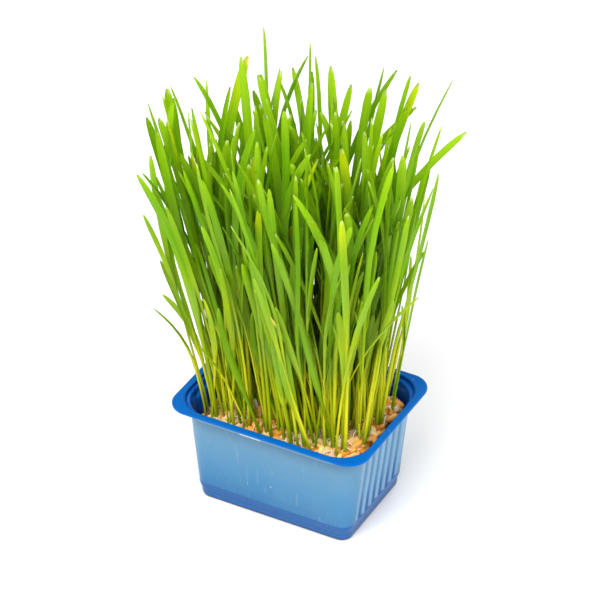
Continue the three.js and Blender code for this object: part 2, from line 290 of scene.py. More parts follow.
def outline(z, half_x, half_y, radius, short_step=0.5, long_step=1.5, corner_steps=14, press=None):
    """Rounded rectangles, one for each row of z, counter-clockwise: four straight sides with points at fixed
    places along them, and four quarter turns about the corners' centres. press(along, is_long) gives how
    far each point of a side is pushed in."""
    z, half_x, half_y, radius = [np.asarray(v, float).reshape(-1, 1) for v in (z, half_x, half_y, radius)]
    parts = []
    for quarter in range(4):
        turn = quarter * np.pi / 2
        out_x, out_y = round(np.cos(turn)), round(np.sin(turn))
        reach, gap = (SHORT_REACH, short_step) if quarter % 2 == 0 else (LONG_REACH, long_step)
        along = np.linspace(-reach, reach, int(2 * reach / gap) + 1)[None]
        pushed = 0 if press is None else press(along, quarter % 2)
        parts.append(np.stack([out_x * (half_x - pushed) - out_y * along + 0 * z,
                               out_y * (half_y - pushed) + out_x * along + 0 * z, z + 0 * along], -1))
        turns = turn + np.linspace(0, np.pi / 2, corner_steps + 1)[None]
        side_x, side_y = [(1, 1), (-1, 1), (-1, -1), (1, -1)][quarter]
        parts.append(np.stack([side_x * (half_x - radius) + radius * np.cos(turns),
                               side_y * (half_y - radius) + radius * np.sin(turns), z + 0 * turns], -1))
    return np.concatenate(parts, axis=1)


def tray_rings():
    """The sheet as one path of (height, inset, corner radius, inner, groove, panel), any left out being 0. It
    runs from under the floor up the outside, over the flange and down the inside, rounded at each bend, and
    has an outline for each point. The short sides are pressed in by the grooves and the long ones out by the
    panel, and the walls wave a little. Also how far inside, deep in a groove and among them a point is."""
    foot_top = wall_inset(FOOT_HEIGHT) - SHEET
    foot_inset = wall_inset(FOOT_HEIGHT) + FOOT_DRAFT
    groove_low, groove_high = FOOT_HEIGHT + GROOVE_END, LEDGE_HEIGHT - GROOVE_END

    def wall(z, inner=0, groove=0, panel=0):
        """A point of the path on the wall's outer or inner face."""
        return z, wall_inset(z) - SHEET * (1 - inner), wall_radius(z), inner, groove, panel

    under = TRAY_HEIGHT - SHEET
    outside = [
        (0, foot_inset + FLOOR_RIM, FOOT_RADIUS / 2),
        (0, foot_inset + 0.6, FOOT_RADIUS),
        (0.2, foot_inset - SHEET + 0.3, FOOT_RADIUS),
        (0.9, foot_inset - SHEET - 0.25, FOOT_RADIUS),
        (FOOT_HEIGHT - 3.4, foot_top + 1.15, FOOT_RADIUS),
        (FOOT_HEIGHT - 3.1, foot_top + 0.8, FOOT_RADIUS),
        (FOOT_HEIGHT - 0.4, foot_top + 0.3, FOOT_RADIUS),
        wall(FOOT_HEIGHT + 0.5),
        wall(groove_low, 0, 1),
        wall(PANEL_LOW - 0.5, 0, 1),
        wall(PANEL_LOW + 0.5, 0, 1, 1),
        wall(PANEL_HIGH - 0.5, 0, 1, 1),
        wall(PANEL_HIGH + 0.5, 0, 1),
        wall(groove_high, 0, 1),
        wall(LEDGE_HEIGHT - 0.4),
        (LEDGE_HEIGHT - 0.35, SHOULDER_INSET - SHEET, OPENING_RADIUS),
        (under - 0.2, FLANGE_WIDTH - SHEET, OPENING_RADIUS),
        (under - 0.2, 1.2, RIM_RADIUS + 1),
        (TRAY_HEIGHT - LIP_DROP, 0.5, RIM_RADIUS),
        (TRAY_HEIGHT - LIP_DROP, 0, RIM_RADIUS),
    ]
    inside = [
        (TRAY_HEIGHT - 0.1, 0, RIM_RADIUS),
        (TRAY_HEIGHT, 1.0, RIM_RADIUS),
        (TRAY_HEIGHT - 0.15, FLANGE_WIDTH * 0.6, (RIM_RADIUS + OPENING_RADIUS) / 2, 0.2),
        (TRAY_HEIGHT, FLANGE_WIDTH, OPENING_RADIUS, 0.6),
        (TRAY_HEIGHT - 2.1, FLANGE_WIDTH + 0.1, OPENING_RADIUS, 1),
        (TRAY_HEIGHT - 2.3, FLANGE_WIDTH + 1.3, OPENING_RADIUS + 2, 1),
        (LEDGE_HEIGHT + SHEET / 2, SHOULDER_INSET + 1.0, OPENING_RADIUS + 1, 1),
        wall(LEDGE_HEIGHT, 1),
        wall(groove_high, 1, 1),
        wall(groove_low, 1, 1),
        wall(FOOT_HEIGHT, 1),
        (SHEET, foot_inset, FOOT_RADIUS - SHEET, 1),
        (SHEET, foot_inset + FLOOR_RIM, FOOT_RADIUS / 2, 1),
    ]
    path = np.array([point + (0,) * (6 - len(point)) for point in outside + inside], float)
    z, inset, radius, inner, groove, panel = rounded(path, 2).T[:, :, None]

    def press(along, is_long):
        """The panel is pressed out by smooth steps at its ends, and the grooves in by one on either side."""
        if is_long:
            return -PANEL_RISE * panel * step(np.abs(along), PANEL_HALF, PANEL_HALF - 1.2)
        phase = np.abs((along / GROOVE_PITCH) % 1 - 0.5) * GROOVE_PITCH
        in_grooves = np.abs(along) < GROOVES / 2 * GROOVE_PITCH
        return GROOVE_DEPTH * groove * step(phase, 0.43 * GROOVE_PITCH, 0.09 * GROOVE_PITCH) * in_grooves

    sizes = z, RIM_HALF[0] - inset, RIM_HALF[1] - inset, radius
    rings = outline(*sizes, press=press)
    grooved = np.abs(rings - outline(*sizes))[..., 0] / GROOVE_DEPTH
    on_wall = step(z, FOOT_HEIGHT, FOOT_HEIGHT + 12) * step(z, LEDGE_HEIGHT, LEDGE_HEIGHT - 8)
    bulge = WALL_WAVE * ripple(rings, 40, 3)[..., None] * rings * [1, 1, 0] / RIM_HALF[1]
    edge = GROOVES / 2 * GROOVE_PITCH
    on_short_side = np.abs(rings[..., 0]) > SHORT_SIDE_FROM
    ribbed = groove * step(np.abs(rings[..., 1]), edge + 2.6, edge + 1.2) * on_short_side
    return rings + bulge * on_wall[..., None], inner, grooved, ribbed


def blue_plastic():
    """Pigmented clear plastic: paler where it lies on the white roots, most of all near the top, and bluer in
    the foot band. Just under the ledge it is greyer and darker, as painted shadow of the rim. The grooves are
    painted darker as painted shade, most of all low down, and the raised strips between them lighter as
    painted highlight. The flange is deep blue, with a lighter lower edge to the lip as painted highlight, and
    the inside is painted darker still as painted shade, with lighter bands on the ledge and on the step under
    the flange as painted light and a dark band at the shoulder's top as painted shadow. Fine upright draw
    marks, scuffs and specks, level lines in the foot band, and a dark line along the foot's lower edge,
    partly dirt and partly painted contact shadow. A light line along the ledge's edge under the rim is
    painted highlight, with white painted glints on it in places."""
    finish = Finish("blue_plastic", IOR=1.5, Specular_IOR_Level=0.08, Coat_Roughness=0.08)
    height, inner = finish.place("Z"), finish.mark("inner")
    grooved, ribbed = finish.mark("grooved"), finish.mark("ribbed")
    # Paler upwards where the roots lie behind. The last stop, greyer and darker just under the ledge, is
    # painted shadow of the rim.
    wall = finish.ramp(height / TRAY_HEIGHT, (0.14, (0.036, 0.19, 0.42)), (0.26, (0.050, 0.22, 0.44)),
                       (0.5, (0.082, 0.27, 0.475)), (0.76, (0.135, 0.315, 0.485)),
                       (0.9, (0.125, 0.265, 0.40)))
    cloudy = finish.noise(38, 2, (1, 1, 0.6)).between(0.35, 0.7)
    drawn = finish.noise(420, 1, (1, 1, 0.012)).between(0.64, 0.72)
    # Painted highlight: the raised strips between the grooves of the short sides are painted lighter.
    ridge_highlight = ribbed * grooved.between(0.85, 0.3) * (0.4 + 0.25 * finish.noise(90, 1, (1, 1, 0.2)))
    wall = finish.layers(
        wall,
        (cloudy * 0.18, (0.16, 0.36, 0.53)),
        (drawn * 0.16, (0.30, 0.50, 0.66)),
        (ridge_highlight, (0.34, 0.54, 0.74)),
        # Painted shade: the grooves are painted darker, most of all low down.
        (grooved.between(0.2, 0.9) * 0.25, (0.05, 0.20, 0.43)),
        (grooved.between(0.3, 0.95) * height.between(29, 13) * 0.8, (0.018, 0.11, 0.36)),
    )
    level_lines = (height * 2.6).math("SINE").between(0.4, 0.95)
    foot = finish.layers(
        (0.014, 0.118, 0.36),
        (finish.noise(120, 2, (1, 1, 3)), (0.028, 0.142, 0.40)),
        (height.between(5.6, 5.0) * 0.4, (0.030, 0.125, 0.35)),
        (level_lines * 0.35, (0.055, 0.18, 0.43)),
        # A dark line along the foot's lower edge, partly dirt and partly painted contact shadow.
        (height.between(1.7, 0.5), (0.07, 0.05, 0.09)),
    )
    deep = finish.mix(finish.noise(60), (0.0, 0.112, 0.43), (0.0, 0.134, 0.50))
    flange = height.between(TRAY_HEIGHT - 2.6, TRAY_HEIGHT - 1.8)
    # Painted highlight: the lip's lower edge is painted lighter.
    lip = height.between(TRAY_HEIGHT - 0.5, TRAY_HEIGHT - 1.2) * flange
    # Painted highlight: a light line along the ledge's edge under the rim, with white painted glints on it in
    # places.
    ledge_highlight = (height.between(LEDGE_HEIGHT + 1.4, LEDGE_HEIGHT + 0.7)
            * height.between(LEDGE_HEIGHT - 0.8, LEDGE_HEIGHT - 0.2))
    painted_glint = finish.noise(34, 1).between(0.66, 0.7) * ledge_highlight
    outside = finish.layers(
        foot,
        (height.between(FOOT_HEIGHT + 0.6, FOOT_HEIGHT + 1.9), wall),
        (flange, deep),
        (lip * 0.8, (0.05, 0.27, 0.56)),
        (ledge_highlight * 0.6, (0.36, 0.46, 0.60)),
        (painted_glint, (0.9, 0.95, 1.0)),
    )
    # Painted shade inside: darker all over and darkest low down, with lighter bands on the ledge and on the
    # step under the flange as painted light, and a dark band at the shoulder's top as painted shadow.
    inside = finish.layers(
        (0.0, 0.03, 0.22),
        (height.between(TRAY_HEIGHT - 18, LEDGE_HEIGHT), (0.0, 0.07, 0.38)),
        (height.between(LEDGE_HEIGHT - 1.5, LEDGE_HEIGHT), (0.0, 0.15, 0.62)),
        (height.between(LEDGE_HEIGHT + 0.4, LEDGE_HEIGHT + 1.6), (0.0, 0.07, 0.42)),
        (height.between(TRAY_HEIGHT - 2.9, TRAY_HEIGHT - 2.4), (0.0, 0.12, 0.60)),
        (height.between(TRAY_HEIGHT - 1.9, TRAY_HEIGHT - 1.2), (0.0, 0.04, 0.30)),
    )
    scuffs = finish.noise(1500, 2, (1, 1, 0.05)).between(0.62, 0.8) * finish.noise(40).between(0.45, 0.6)
    specks = finish.noise(420, 0).between(0.86, 0.89)
    marked = scuffs * 0.18 + specks * 0.5
    colour = finish.layers(outside, (inner.between(0.35, 0.75), inside), (marked, (0.55, 0.70, 0.82)))
    finish.set(Base_Color=colour, Roughness=0.24 + finish.noise(240) * 0.12 + scuffs * 0.2)
    finish.set(Coat_Weight=0.3 - 0.3 * flange)
    finish.relief(finish.noise(700, 2, (1, 1, 0.2)) + cloudy, 0.04)
    finish.glow_through(0.2, (0.01, 0.24, 0.66, 1))
    return finish


rings, inner, grooved, ribbed = tray_rings()
piece("tray_shell", rings, blue_plastic(), "tray", "tray", inner=inner, grooved=grooved, ribbed=ribbed)


# ------------------------------
# The root mat. Fine white roots that have filled the tray and taken its shape, grooves and all. Fibres run
# down the walls and turn in under the mat.

GAP = 0.35
MAT_TOP = 46
LEFT_SAG = 6.5
SAG_START, SAG_END = -22, -50
TO_MIDDLE = [0.05, 0.05, 1]


def left_sag(x):
    """How far the roots and the grains have sunk at the tray's left end, where the grass is thinner: a smooth
    step from nothing to the whole sag."""
    return LEFT_SAG * step(x, SAG_START, SAG_END)


def root_mat_rings():
    """The tray's inner wall drawn in by a gap and the grooves' depth, closed under and over towards the
    middle, and roughened inwards by two sizes of ripple."""
    foot = [1.3, 5, FOOT_HEIGHT]
    z = np.concatenate([foot, np.linspace(FOOT_HEIGHT + 2, MAT_TOP, 24)])[:, None]
    inward = FOOT_DRAFT * np.clip((FOOT_HEIGHT - z) / FOOT_HEIGHT, 0, 1)
    half_x, half_y = [half - wall_inset(np.maximum(z, FOOT_HEIGHT)) - GAP - inward for half in RIM_HALF]
    sides = outline(z, half_x - GROOVE_DEPTH, half_y, wall_radius(z) - GAP, 1.0, 1.5, 10)
    rings = np.concatenate([sides[:1] * TO_MIDDLE, sides, sides[-1:] * TO_MIDDLE])
    rings[..., 2] -= left_sag(rings[..., 0]) * step(rings[..., 2], 25, MAT_TOP)
    fibres = ripple(rings * [1, 1, 0.1], 2.2, 5) * 0.12 + ripple(rings, 9, 6) * 0.12
    return rings - unit(rings * [1, 1, 0]) * (0.2 + fibres)[..., None]


def white_roots():
    """Matted roots: pale threads with darker gaps, damp and slightly tan towards the foot."""
    finish = Finish("white_roots", Roughness=0.75, Sheen_Weight=0.2)
    threads = finish.noise(900, 4, (1, 1, 0.14), 0.6)
    cross = finish.noise(600, 3, (0.4, 0.4, 1.4))
    colour = finish.ramp(threads * 0.7 + cross * 0.3, (0.32, (0.42, 0.33, 0.2)), (0.5, (0.78, 0.71, 0.55)),
                         (0.62, (0.9, 0.87, 0.76)))
    colour = finish.mix(finish.place("Z").between(14, 3) * 0.4, colour, (0.5, 0.4, 0.24))
    finish.set(Base_Color=colour)
    finish.relief(threads, 0.5)
    return finish


piece("root_mat_fibres", root_mat_rings(), white_roots(), "root_mat", "root_mat")


# ------------------------------
# The shoots' places. The grass grows in clusters of three, spread evenly over the bed. They are drawn here
# by the same rule and seed as the solid model's, because the grains lie round them.

GROWING_HALF = np.array([43.6, 31.2])
CLUSTERS = 96
IN_CLUSTER = 3
CLUSTER_RADIUS = 0.85
CLUSTER_ROOM = 3.25
ROOT_HEIGHT = MAT_TOP + GAP + 0.4


class Draws:
    """Even draws by Park and Miller's rule: each state is the last one times 48271, modulo 2^31 - 1."""

    def __init__(self, seed):
        self.state = seed

    def __call__(self, low=0.0, high=1.0):
        self.state = self.state * 48271 % 2147483647
        return low + (high - low) * (self.state / 2147483647)


def draw_place(draw):
    """A random place and turn in a rectangle whose corners are rounded as |x|^4 + |y|^4 = 1 is."""
    while True:
        x, y = draw(-GROWING_HALF[0], GROWING_HALF[0]), draw(-GROWING_HALF[1], GROWING_HALF[1])
        turn = draw(0, np.pi)
        if (x / GROWING_HALF[0]) ** 4 + (y / GROWING_HALF[1]) ** 4 <= 1:
            return x, y, turn


def cluster_ways(turns):
    """The three ways out from a cluster's middle, as (clusters, 3, 2)."""
    turns = np.asarray(turns)[:, None] + np.arange(IN_CLUSTER) * 2 * np.pi / IN_CLUSTER
    return np.stack([np.cos(turns), np.sin(turns)], axis=-1)


def cluster_spots(places):
    """Each cluster's ground as four spots of (x, y, room): a round middle and three bare corners."""
    middle = places[:, None, :2]
    corners = middle + CLUSTER_ROOM * cluster_ways(places[:, 2])
    spots = np.concatenate([middle, corners], axis=1)
    room = np.broadcast_to([CLUSTER_ROOM / 2, 0, 0, 0], spots.shape[:2])[..., None]
    return np.concatenate([spots, room], axis=2)


def spread_clusters(draw, tries=60):
    """Each place is the one of some random tries with the widest gap to all before it."""
    chosen = np.empty((0, 3))
    for _ in range(CLUSTERS):
        places = np.array([draw_place(draw) for _ in range(tries)])
        best = 0
        if len(chosen):
            spots, others = cluster_spots(places)[:, None, :, None], cluster_spots(chosen)[None, :, None]
            apart = np.linalg.norm(spots[..., :2] - others[..., :2], axis=-1)
            gaps = apart - spots[..., 2] - others[..., 2]
            best = gaps.min(axis=(1, 2, 3)).argmax()
        chosen = np.concatenate([chosen, places[best:best + 1]])
    return chosen


draw = Draws(20)
clusters = spread_clusters(draw)


# ------------------------------
# The grain bed. Wheat grains, sown thick on the mat, that have swollen, sprouted and grown together. The
# lower ones are one skin with a bump for each grain. The top ones lie loose on it, with young white roots.

BED_EDGE_TOP = 50.6
BED_CROWN_TOP = 56
BED_SLOPE_WIDTH = 12
BED_CROWN_SHIFT = np.array([3, -3])
BED_MARGIN = np.array([3.2, 3.6])
SKIN_DROP = 0.6
GRAIN_LENGTH = 6.5
GRAIN_WIDTH = 4.3
PACKED_GRAINS = 560
LUMP_LOW = 1.5
LUMP_RISE = 1.7


def bed_height(x, y):
    """Height of the bed: it rises from its edge, over the width of its slope, to a flat crown, less the sag
    at the left end."""
    inset = wall_inset(BED_EDGE_TOP) + GAP
    inside_x = RIM_HALF[0] - inset - GROOVE_DEPTH - BED_SLOPE_WIDTH - np.abs(x - BED_CROWN_SHIFT[0])
    inside_y = RIM_HALF[1] - inset - BED_SLOPE_WIDTH - np.abs(y - BED_CROWN_SHIFT[1])
    outside = step(-np.minimum(inside_x, inside_y), 0, BED_SLOPE_WIDTH)
    return BED_CROWN_TOP - SKIN_DROP - (BED_CROWN_TOP - BED_EDGE_TOP) * outside - left_sag(x)


def scattered(count, seed, tries=12):
    """Places on the bed, where |x|^6 + |y|^6 is under 1 in its own half sizes. Each is the one of some tries
    that is farthest from those before it."""
    random = np.random.default_rng(seed)
    half = GROWING_HALF + BED_MARGIN
    chosen = np.empty((0, 2))
    for _ in range(count):
        places = random.uniform(-half, half, (tries, 2))
        places = places[(np.abs(places / half) ** 6).sum(axis=1) <= 1]
        if len(chosen):
            gap = np.linalg.norm(places[:, None] - chosen[None], axis=2).min(axis=1)
            places = places[gap.argmax():gap.argmax() + 1]
        chosen = np.concatenate([chosen, places[:1]])
    return chosen


def lumps(x, y, seed, count):
    """Height and seeded tint of the nearest of many ellipses, each turned its own way: sqrt(1 - d^2), where
    d is the distance from its middle in a grain's half lengths and half widths."""
    random = np.random.default_rng(seed)
    middle = scattered(count, seed)
    turn = random.uniform(0, np.pi, count)
    dx, dy = x.reshape(-1, 1) - middle[:, 0], y.reshape(-1, 1) - middle[:, 1]
    along, across = dx * np.cos(turn) + dy * np.sin(turn), dy * np.cos(turn) - dx * np.sin(turn)
    square = (along / (GRAIN_LENGTH / 2)) ** 2 + (across / (GRAIN_WIDTH / 2)) ** 2
    nearest = square.argmin(axis=1)
    height = np.sqrt(np.clip(1 - square.min(axis=1), 0, 1))
    return height.reshape(x.shape), random.uniform(0, 1, count)[nearest].reshape(x.shape)


def bed_rings():
    """The wall side of the bed, then rows of its outline that draw in to the middle over its bumpy top."""
    low = MAT_TOP + 1.5
    z = np.array([low, low, low + 1.5, BED_EDGE_TOP - 1.2])[:, None]
    inset = wall_inset(z) + GAP
    half_x, half_y = RIM_HALF[0] - inset - GROOVE_DEPTH, RIM_HALF[1] - inset
    sides = outline(z, half_x, half_y, wall_radius(z) - GAP, 0.8, 0.8, 14)
    sides[0] *= TO_MIDDLE
    sides[..., 2] -= left_sag(sides[..., 0])
    shares = np.linspace(0.995, 0.02, 62)[:, None, None]
    over = sides[-1:] * [1, 1, 0] * shares
    lump, tint = lumps(over[..., 0], over[..., 1], 11, PACKED_GRAINS)
    over[..., 2] = bed_height(over[..., 0], over[..., 1]) - LUMP_LOW + LUMP_RISE * lump
    flat = np.zeros(sides.shape[:2])
    return np.concatenate([sides, over]), np.concatenate([flat, lump]), np.concatenate([flat + 0.5, tint])


def grain_skin(name, dark):
    """Swollen grain: brown through orange and peach to cream skins, with rusty spots and paler splits.
    Painted shade darkens the crease and the ends, and the gaps between packed grains."""
    finish = Finish(name, Specular_IOR_Level=0.45)
    tint = finish.mark("tint")
    colour = finish.ramp(tint, (0.0, (0.50, 0.15, 0.005)), (0.14, (0.94, 0.34, 0.015)),
                         (0.36, (1.0, 0.50, 0.08)), (0.62, (1.0, 0.68, 0.26)), (0.86, (1.0, 0.86, 0.58)),
                         (1.0, (0.80, 0.27, 0.01)))
    spots = finish.noise(700, 3)
    colour = finish.layers(
        colour,
        (spots.between(0.55, 0.8) * 0.5, (0.62, 0.22, 0.015)),
        (finish.noise(2200, 2).between(0.55, 0.8) * 0.25, (0.98, 0.84, 0.60)),
        # Painted shade in the crease.
        (finish.mark("crease") * 0.6, (0.46, 0.17, 0.02)),
    )
    # Painted shade: the gaps between packed grains, the bed's sides and the ends of loose grains go towards
    # the darker colour, by the height mark.
    colour = finish.mix(finish.mark("height").between(0.1, 0.7), dark, colour)
    finish.set(Base_Color=colour, Roughness=0.36 + finish.noise(600) * 0.3)
    finish.relief(finish.noise(1600, 3) + spots * 0.6, 0.2)
    finish.glow_through(0.12, (1.0, 0.6, 0.2, 1))
    return finish


rings, height, tint = bed_rings()
packed_grain = grain_skin("packed_grain", (0.10, 0.028, 0.004))
piece("lower_grains", rings, packed_grain, "grain_bed", "grain_bed", height=height, tint=tint)


LOOSE_GRAINS = 430


def turning(angles, first, second):
    """Matrices (3, 3, angles) that turn the first axis towards the second: cosines on both, and the sines
    across them."""
    matrices = np.repeat(np.eye(3)[..., None], len(angles), axis=2)
    matrices[first, first] = matrices[second, second] = np.cos(angles)
    matrices[second, first] = np.sin(angles)
    matrices[first, second] = -np.sin(angles)
    return matrices


def grain_rings(count, seed, length, width, lift):
    """Grains as skins of seven-sided rings along their length, of radius sin(pi t^0.85)^0.5, so that one end
    is blunter, drawn in on one side by a crease of e^(-4 a^2). Each lies on the bed at its own turn, tilt
    and roll. Also the paleness of the middle, the grain's tint and the crease."""
    random = np.random.default_rng(seed)
    middle = scattered(count, seed + 50)
    along = 0.5 - 0.47 * np.cos(np.linspace(0, np.pi, 7))
    turn = np.arange(7) * 2 * np.pi / 7
    radius = np.sin(np.pi * along ** 0.85) ** 0.5
    size = random.uniform(0.78, 1.14, (count, 1, 1))
    crease = np.exp(-(turn - np.pi / 2) ** 2 / 0.25)
    drawn_in = 1 - 0.28 * crease
    x = size * length * (along - 0.5)[None, :, None] + 0 * turn
    y = size * width / 2 * radius[None, :, None] * np.cos(turn) * drawn_in
    z = size * width * 0.44 * radius[None, :, None] * np.sin(turn) * drawn_in
    grain = np.stack([x, y, z], axis=-1)
    roll = random.uniform(0, 2 * np.pi, count)
    tilt = random.normal(0, 0.28, count)
    yaw = random.uniform(0, 2 * np.pi, count)
    ways = turning(yaw, 0, 1), turning(tilt, 2, 0), turning(roll, 1, 2)
    turned = np.einsum("ijn,jkn,kln,nabl->nabi", *ways, grain)
    ground = bed_height(middle[:, 0], middle[:, 1]) + lift + random.uniform(-0.5, 0.7, count)
    place = np.column_stack([middle, ground])
    tint = random.uniform(0, 1, (count, 1, 1))
    # The middle keeps the grain's colour and the ends go towards the painted shade.
    pale = step(radius, 0.15, 0.6)[None, :, None] * 0.7 + 0.3
    rings = turned + place[:, None, None]
    room = RIM_HALF - wall_inset(rings[..., 2:]) - GAP
    rings[..., :2] = np.clip(rings[..., :2], -room, room)
    return rings, {"height": pale, "tint": tint, "crease": crease}


rings, marks = grain_rings(LOOSE_GRAINS, 21, GRAIN_LENGTH, GRAIN_WIDTH, 0.25)
piece("loose_grains", rings, grain_skin("loose_grain", (0.38, 0.12, 0.012)), "grain_bed", **marks)


ROOT_THREADS = 150


def tubes(line, radius, sides):
    """Round tubes about lines (tubes, rows, 3): at each row a circle across the line's own direction."""
    ahead = unit(np.gradient(line, axis=1))
    across = unit(np.cross(ahead, [0.3, 0.2, 0.93]))
    other = np.cross(ahead, across)
    turn = np.arange(sides) * 2 * np.pi / sides
    radius = np.broadcast_to(radius, line.shape[:2])[..., None, None]
    circle = across[:, :, None] * np.cos(turn)[:, None] + other[:, :, None] * np.sin(turn)[:, None]
    return line[:, :, None] + radius * circle


def threads(starts, ways, length, radius, curl, lift, seed, rows=10, sides=4):
    """Round threads that lie on the bed: each runs its own way from its start, and swings from side to side
    and up and down in sine waves of seeded length. Those that would leave the bed are drawn back to it."""
    random = np.random.default_rng(seed)
    count = len(starts)
    s = np.linspace(0, 1, rows)[None, :]
    length = length * random.uniform(0.5, 1.3, (count, 1))
    swing_start, rise_start, _ = random.uniform(0, 2 * np.pi, (3, count, 1))
    waves = random.uniform(0.6, 1.9, (count, 1))
    swing = curl * (np.sin(2 * np.pi * waves * s + swing_start) - np.sin(swing_start))
    way_x, way_y = np.cos(ways)[:, None], np.sin(ways)[:, None]
    x = starts[:, :1] + length * s * way_x - swing * way_y
    y = starts[:, 1:2] + length * s * way_y + swing * way_x
    reach_x, reach_y = GROWING_HALF + 3
    outside = ((x / reach_x) ** 4 + (y / reach_y) ** 4) ** 0.25
    x, y = x / np.maximum(outside, 1), y / np.maximum(outside, 1)
    z = bed_height(x, y) + lift * (0.6 + 0.6 * np.sin(2 * np.pi * waves * 1.3 * s + rise_start))
    line = np.stack([x, y, z], axis=-1)
    return tubes(line, radius * (1 - 0.6 * s), sides)


def root_thread():
    """One young root: glassy cream to white, with a fine grain."""
    finish = Finish("root_thread", Roughness=0.5, Subsurface_Weight=0.15)
    finish.set(Base_Color=finish.mix(finish.noise(300), (0.88, 0.84, 0.66), (1.0, 0.97, 0.88)))
    finish.relief(finish.noise(3000), 0.05)
    return finish


random = np.random.default_rng(31)
starts = scattered(ROOT_THREADS, 32, 3)
ways = random.uniform(0, 2 * np.pi, ROOT_THREADS)
rings = threads(starts, ways, length=11, radius=0.34, curl=1.9, lift=3.6, seed=33)
piece("root_threads", rings, root_thread(), "grain_bed")


# ------------------------------
# The shoots. Each grain sends up one round pale-footed stem that opens into a long flat leaf with fine
# veins and a blunt point. Some shoots have a second, younger leaf, and thinner late shoots stand among them.

LONG_SHOOT = (148, 196)
SHORT_SHOOT = (84, 150)
SHORT_SHARE = 0.22
OUTWARD_LEAN = 0.05
OUTWARD_BEND = 0.035
CLUSTER_LEAN = 0.03
SPLAY = (0.01, 0.036)
SHOOT_BEND = 0.09
FACE_TURN = 0.6
SHOOT_TWIST = 0.7
CLEAR_GAP = 1
FAR = 1e6
CHECK_HEIGHTS = np.array([30, 60, 90, 110, 130, 150, 170.0])
WIDTH_SHARES, WIDTHS = [0, 0.34, 0.62, 0.89, 1], [1.35, 2.1, 4.6, 4.3, 0]
SHARES = np.array([0, 0.08, 0.17, 0.26, 0.34, 0.42, 0.51, 0.61, 0.72, 0.82, 0.90, 0.945, 0.975, 0.995])
SWEEP = 0.3
SWEPT_BEFORE_Y = -4
SWEPT_LEFT_OF_X = 28
SLENDER_ROOM = np.array([65, 53])
OPENING_SHARE = 0.3
LEAF_HALF_THICK = 0.17
SHOOTS_ROOM = np.array([corner[:2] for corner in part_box("shoots")]) / MM + [[2], [-2]]


def middle_line(shoots, s):
    """The x and y of middle lines at shares s of their length: length * (lean s + bend s^2) from the foot."""
    x, y, length, lean_x, lean_y, bend_x, bend_y = [v[..., None] for v in shoots[:7]]
    across = x + length * (lean_x * s + bend_x * s * s), y + length * (lean_y * s + bend_y * s * s)
    return np.stack(across, axis=-1)


def passes(shoots):
    """Where shoots pass the check heights, at both edges and the middle, and which are below their tips."""
    s = CHECK_HEIGHTS / shoots[2][..., None]
    middle = middle_line(shoots, s)
    turn = shoots[7][..., None] + shoots[8][..., None] * s
    reach = np.interp(s, WIDTH_SHARES, WIDTHS)[..., None, None] * np.array([-0.5, 0, 0.5])[:, None]
    spots = middle[..., None, :] + reach * np.stack([np.cos(turn), np.sin(turn)], -1)[..., None, :]
    return spots, CHECK_HEIGHTS < shoots[2][..., None]


def grow(draw, clusters, tries=40):
    """Shoots as rows of x, y, length, lean, bend, face and twist. Each leans with its cluster and outwards by
    its place, and is the first of some tries that keeps clear of those before it, or the clearest."""
    grown = []
    spots = np.empty((0, len(CHECK_HEIGHTS), 3, 2))
    below = np.empty((0, len(CHECK_HEIGHTS)), bool)
    ways = cluster_ways(clusters[:, 2])
    for (x, y, _), three in zip(clusters, ways):
        out = np.array([x, y]) / GROWING_HALF
        lean = np.array([OUTWARD_LEAN * way + draw(-1, 1) * CLUSTER_LEAN for way in out])
        for away in three:
            tried = []
            for _ in range(tries):
                splay, is_short = draw(*SPLAY), draw() < SHORT_SHARE
                length = draw(*(SHORT_SHOOT if is_short else LONG_SHOOT))
                bend = [OUTWARD_BEND * way + draw(-1, 1) * SHOOT_BEND for way in out]
                face = np.arctan2(away[0], -away[1]) + draw(-1, 1) * FACE_TURN
                tried.append([x + CLUSTER_RADIUS * away[0], y + CLUSTER_RADIUS * away[1], length,
                              *(lean + splay * away), *bend, face, draw(-1, 1) * SHOOT_TWIST])
            new_spots, new_below = passes(np.array(tried).T)
            gaps = np.linalg.norm(new_spots[:, None, :, :, None] - spots[None, :, :, None], axis=-1)
            gaps = np.where(new_below[:, None] & below[None], gaps.min(axis=(3, 4)), FAR)
            best = np.minimum(gaps.reshape(tries, -1).min(axis=1, initial=FAR), CLEAR_GAP).argmax()
            grown.append(tried[best])
            spots = np.concatenate([spots, new_spots[best:best + 1]])
            below = np.concatenate([below, new_below[best:best + 1]])
    return np.array(grown)


def bent_back(line, curve):
    """Middle lines whose tips would pass the shoots' own box are bent back to it, by curve along them."""
    tips = line[:, -1:, :2]
    past = tips - np.clip(tips, *SHOOTS_ROOM)
    return np.concatenate([line[..., :2] - past * curve, line[..., 2:]], axis=-1)


def curled(line, amount, start, random):
    """Middle lines whose tips curl over: from the share start on, length * amount * (s - start)^2 more to a
    seeded side, and less where that would pass the shoots' own box."""
    length = line[:, -1:, 2:] - line[:, :1, 2:]
    aside = random.normal(0, amount, (len(line), 1, 2)) * length
    curve = (np.clip(SHARES[:, None] - start, 0, 1) / (1 - start)) ** 2
    flat = line[..., :2] + aside * (1 - start) ** 2 * curve
    return bent_back(np.concatenate([flat, line[..., 2:]], axis=-1), curve)


